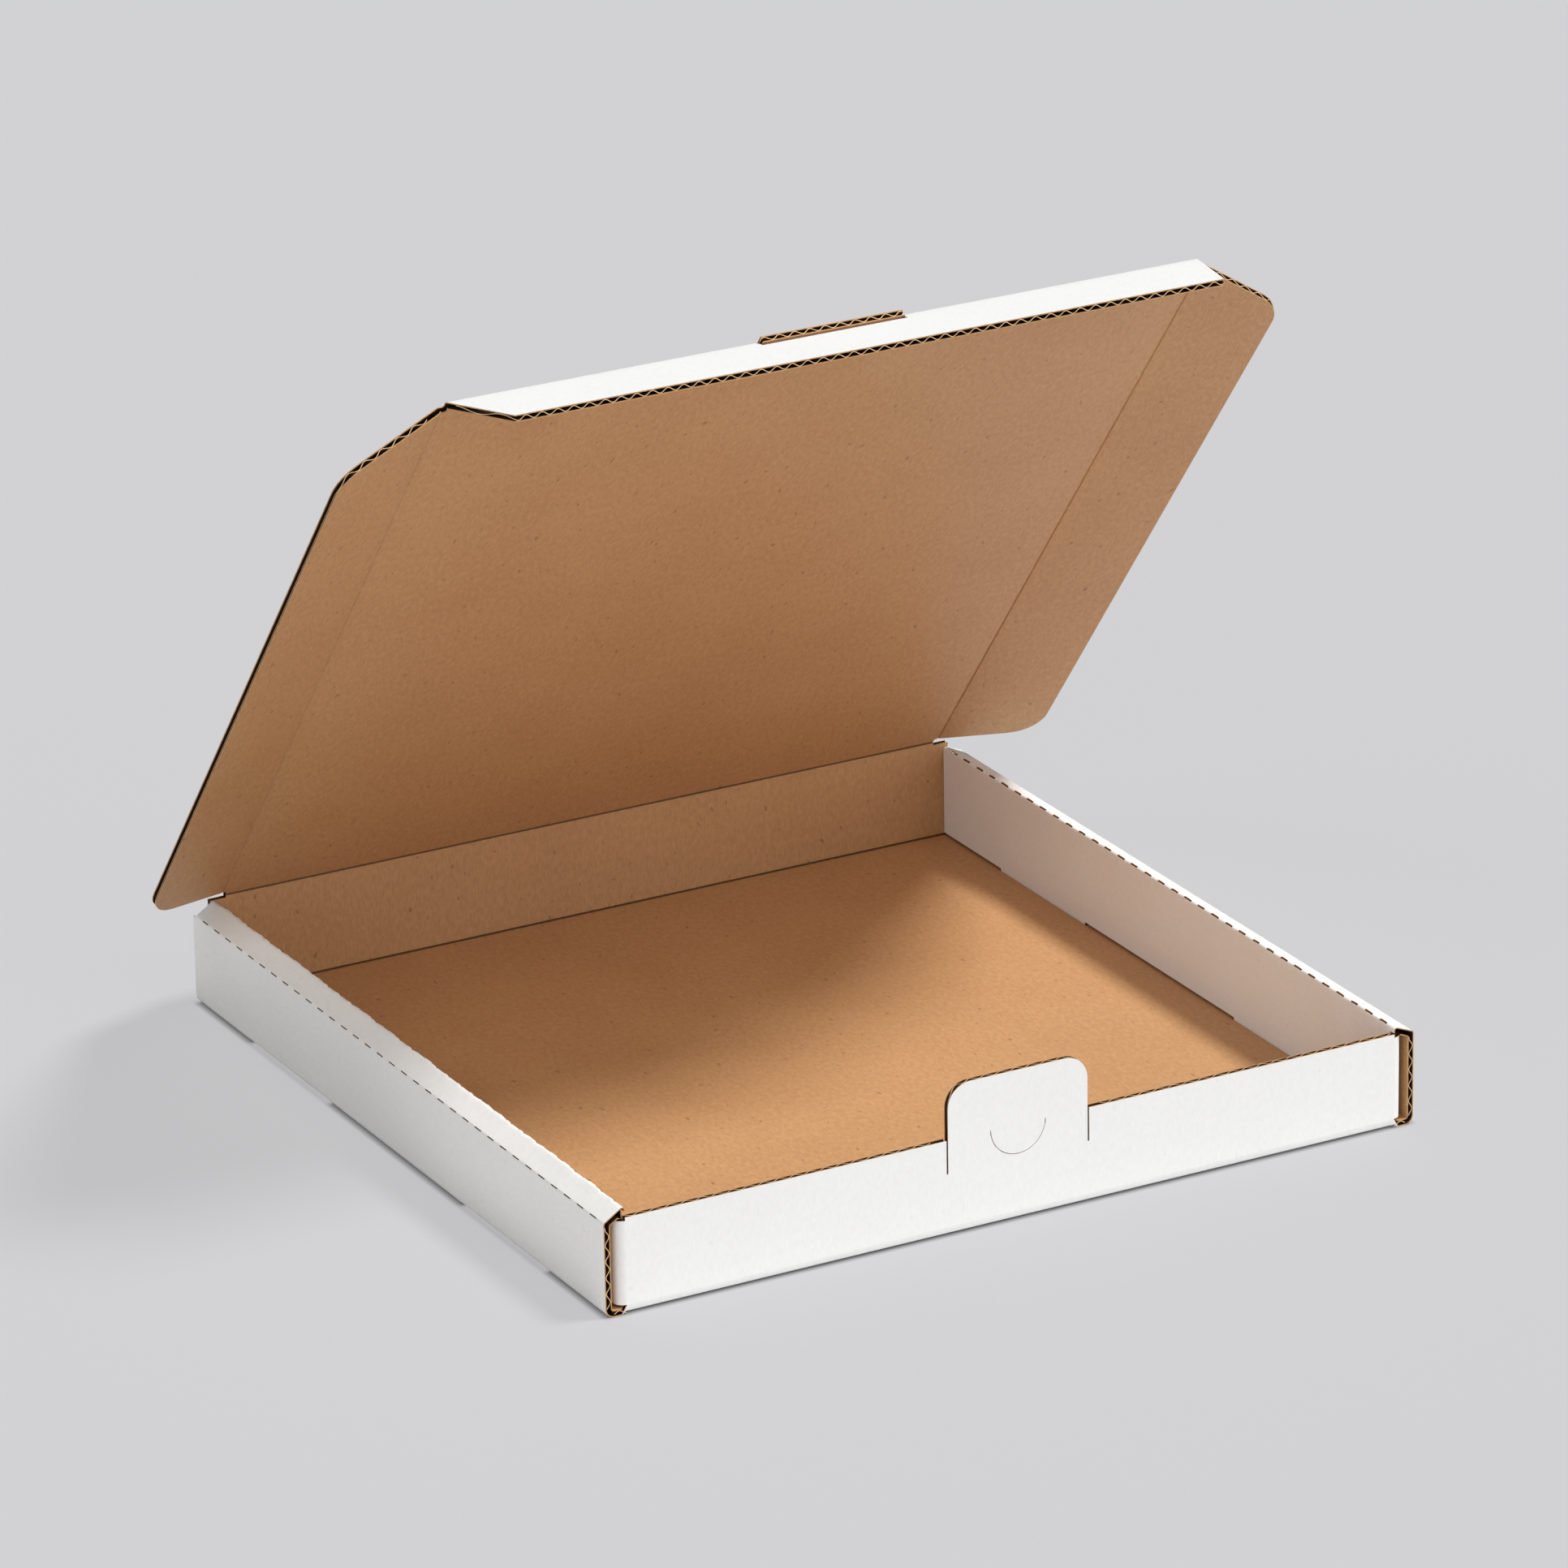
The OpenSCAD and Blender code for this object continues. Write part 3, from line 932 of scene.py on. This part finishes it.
def make_lock_tab():
    outline = rounded([
        (-tab_w / 2, 0, 0), (tab_w / 2, 0, 0), (tab_w / 2, tab_h, tab_r), (-tab_w / 2, tab_h, tab_r)])
    gap = thumb_r + ply_gap

    def tab_blank(co):
        return Vector((-co.x, -front_y - wall_h - co.y))
    for kraft_side in (True, False):
        word = "kraft" if kraft_side else "white"
        sheet = panel_liner(f"lock_tab_{word}", kraft_side, 0, (-tab_w / 2, tab_w / 2), tab_h)
        trim(sheet, outline)
        edit(sheet)
        for place in (-gap, gap):
            cut_all((place, 0, 0), (1, 0, 0))
        delete_faces(sheet, middle(lambda co: abs(co.x) < gap and co.y < 0))
        leave()
        hang(sheet, kraft_side, tab_place, tab_blank)
        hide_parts("lock_tab")
        # Half-moon tongue below the crease
        z = half_t if kraft_side else -half_t
        bpy.ops.object.select_all(action="DESELECT")
        bpy.ops.mesh.primitive_circle_add(
            vertices=circle_steps, radius=thumb_r, fill_type="NGON", location=(0, 0, z))
        tongue = bpy.context.object
        tongue.name = tongue.data.name = f"lock_tongue_{word}"
        bpy.ops.object.transform_apply(location=True, rotation=True, scale=True)
        edit(tongue)
        cut_all((0, 0, 0), (0, 1, 0), drop=True)
        leave()
        turn_faces(tongue, Vector((0, 0, 1 if kraft_side else -1)))
        lay_flat(tongue, lambda co, normal: tab_blank(co))
        thicken(tongue, kraft if kraft_side else white)
        set_down(tongue, tab_place, "lock_tab")
    medium = flutes("lock_tab_flutes", (-tab_w / 2, tab_w / 2), (crush_l, tab_h))
    trim(medium, outline)
    glue_in(medium, tab_place, "lock_tab")


tray_liner("tray_white", 0.0, Vector((0, 0, -1)), white)
tray_liner("tray_kraft", board_t, Vector((0, 0, 1)), kraft)
tray_flutes()
make_lid()
make_front_flap()
make_ear("left", -1, left_place, left_fold)
make_ear("right", 1, right_place, right_fold)
make_lock_tab()


# Stage

backdrop = linear(210, 210, 212)
# The floor to the camera: how much of it is backdrop, in which grey, and how far the contact line reaches
backdrop_share = 0.8
floor_glow = linear(204, 204, 206)
contact_reach = 1.5 * MM
floor_w = 12
# Share of the backdrop's light that falls on the carton
sky_share = 0.03
# Camera fitted to the photograph: lens in millimetres, place in metres, angles in degrees
camera_lens = 210.39
camera_place = (-0.8076, -1.4894, 0.7244)
camera_azimuth = 28.435
camera_elevation = 21.412
camera_roll = -1.001


def stage_floor():
    bpy.ops.object.select_all(action="DESELECT")
    bpy.ops.mesh.primitive_plane_add(size=floor_w, location=(0, 0, 0))
    floor = bpy.context.object
    floor.name = "floor"
    material = bpy.data.materials.new("studio_floor")
    material.use_nodes = True
    tree = material.node_tree
    shader = tree.nodes["Principled BSDF"]
    shader.inputs["Base Color"].default_value = backdrop
    shader.inputs["Roughness"].default_value = 1.0
    shader.inputs["Specular IOR Level"].default_value = 0.0
    # To the camera the floor is part backdrop, which lightens the shadow on it but for the contact line
    glow = tree.nodes.new("ShaderNodeEmission")
    contact = tree.nodes.new("ShaderNodeAmbientOcclusion")
    contact.samples = 8
    contact.inputs["Distance"].default_value = contact_reach
    contact.inputs["Color"].default_value = floor_glow
    wire(tree, contact.outputs["Color"], glow.inputs["Color"])
    rays = tree.nodes.new("ShaderNodeLightPath")
    share = math_node(tree, "MULTIPLY", rays.outputs["Is Camera Ray"], backdrop_share)
    mix = tree.nodes.new("ShaderNodeMixShader")
    wire(tree, share, mix.inputs["Fac"])
    wire(tree, shader.outputs["BSDF"], mix.inputs[1])
    wire(tree, glow.outputs["Emission"], mix.inputs[2])
    wire(tree, mix.outputs["Shader"], tree.nodes["Material Output"].inputs["Surface"])
    floor.data.materials.append(material)


def light_studio():
    # A key from the right and above, a weak one over the front, and wide fills from the left and low right.
    # Each has its name, strength, spread in degrees and the way toward it.
    for name, energy, spread, toward in (("key", 3.05, 15, (0.45, -0.16, 0.87)),
                                         ("front_key", 0.45, 30, (0.15, -0.62, 0.77)),
                                         ("left_fill", 1.65, 90, (-0.9, -0.3, 0.3)),
                                         ("low_fill", 1.05, 60, (0.45, -0.88, 0.12))):
        sun = bpy.data.lights.new(name, "SUN")
        sun.energy = energy
        sun.angle = math.radians(spread)
        lamp = bpy.data.objects.new(name, sun)
        bpy.context.scene.collection.objects.link(lamp)
        lamp.rotation_euler = Vector(toward).to_track_quat("Z", "Y").to_euler()
    world = bpy.data.worlds.new("studio")
    bpy.context.scene.world = world
    world.use_nodes = True
    # The backdrop is pale to the camera and gives the carton almost no light
    tree = world.node_tree
    sky = tree.nodes["Background"]
    sky.inputs["Color"].default_value = backdrop
    rays = tree.nodes.new("ShaderNodeLightPath")
    level = math_node(tree, "MAXIMUM", rays.outputs["Is Camera Ray"], sky_share)
    wire(tree, level, sky.inputs["Strength"])


def camera():
    lens = bpy.data.cameras.new("camera")
    lens.sensor_width = 36
    lens.lens = camera_lens
    lens.clip_end = 50
    eye = bpy.data.objects.new("camera", lens)
    bpy.context.scene.collection.objects.link(eye)
    turn = Euler((math.radians(90 - camera_elevation), 0, math.radians(-camera_azimuth))).to_matrix()
    roll = Matrix.Rotation(math.radians(camera_roll), 3, "Z")
    eye.matrix_world = Matrix.Translation(camera_place) @ (turn @ roll).to_4x4()
    bpy.context.scene.camera = eye


stage_floor()
light_studio()
camera()
bpy.context.scene.view_settings.view_transform = "Standard"
